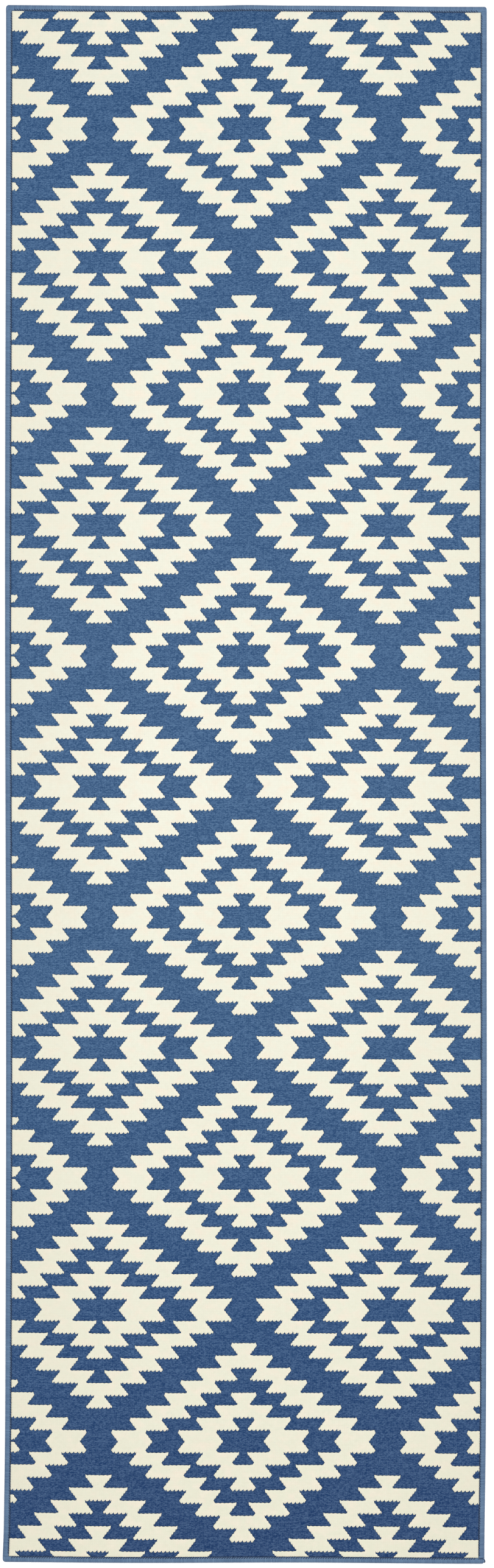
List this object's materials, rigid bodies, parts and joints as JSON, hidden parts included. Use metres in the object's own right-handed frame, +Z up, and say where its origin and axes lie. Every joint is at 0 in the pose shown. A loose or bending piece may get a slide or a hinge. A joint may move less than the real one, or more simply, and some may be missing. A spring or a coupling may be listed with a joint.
{
  "type": "runner rug",
  "caption": "Woven hall runner lying flat: blue cut pile with cream stepped diamonds in a half-drop layout, a serged edge all round and a latex back.",
  "frame": {"origin": "middle of the underside, on the floor that the runner lies on", "axes": "+X across the runner, +Y along it towards the head end, +Z up out of the pile"},
  "size_m": [0.682, 2.21, 0.0083],
  "materials": {
    "blue_yarn": "dense cut pile of heat-set yarn, denim blue, matt with a faint sheen and fine ribs across",
    "cream_yarn": "dense cut pile of heat-set yarn, warm cream, matt",
    "serging_yarn": "lighter blue wrapped yarn with fine ribs across the edge and a soft sheen",
    "navy_thread": "dark blue sewing thread",
    "jute_weft": "natural jute yarn, dry and matt",
    "cotton_warp": "undyed polyester-cotton yarn, matt",
    "latex": "thin rolled-on latex coat over the weave, matt to satin"
  },
  "bodies": {
    "root": {"blue_ground_pile": "blue_yarn", "cream_diamond_centre_1": "cream_yarn", "cream_diamond_centre_2": "cream_yarn", "cream_diamond_centre_3": "cream_yarn", "cream_diamond_centre_4": "cream_yarn", "cream_diamond_centre_5": "cream_yarn", "cream_diamond_centre_6": "cream_yarn", "cream_diamond_left_1": "cream_yarn", "cream_diamond_left_2": "cream_yarn", "cream_diamond_left_3": "cream_yarn", "cream_diamond_left_4": "cream_yarn", "cream_diamond_left_5": "cream_yarn", "cream_diamond_left_6": "cream_yarn", "cream_diamond_left_7": "cream_yarn", "cream_diamond_left_edge_1": "cream_yarn", "cream_diamond_left_edge_2": "cream_yarn", "cream_diamond_left_edge_3": "cream_yarn", "cream_diamond_left_edge_4": "cream_yarn", "cream_diamond_left_edge_5": "cream_yarn", "cream_diamond_left_edge_6": "cream_yarn", "cream_diamond_right_1": "cream_yarn", "cream_diamond_right_2": "cream_yarn", "cream_diamond_right_3": "cream_yarn", "cream_diamond_right_4": "cream_yarn", "cream_diamond_right_5": "cream_yarn", "cream_diamond_right_6": "cream_yarn", "cream_diamond_right_7": "cream_yarn", "cream_diamond_right_edge_1": "cream_yarn", "cream_diamond_right_edge_2": "cream_yarn", "cream_diamond_right_edge_3": "cream_yarn", "cream_diamond_right_edge_4": "cream_yarn", "cream_diamond_right_edge_5": "cream_yarn", "cream_diamond_right_edge_6": "cream_yarn", "latex_back_coat": "latex", "serging_foot": "serging_yarn", "serging_head": "serging_yarn", "serging_left": "serging_yarn", "serging_right": "serging_yarn", "stitching_foot": "navy_thread", "stitching_head": "navy_thread", "stitching_left": "navy_thread", "stitching_right": "navy_thread", "warp_layer": "cotton_warp", "weft_layer_lower": "jute_weft", "weft_layer_upper": "jute_weft"}
  },
  "joints": []
}
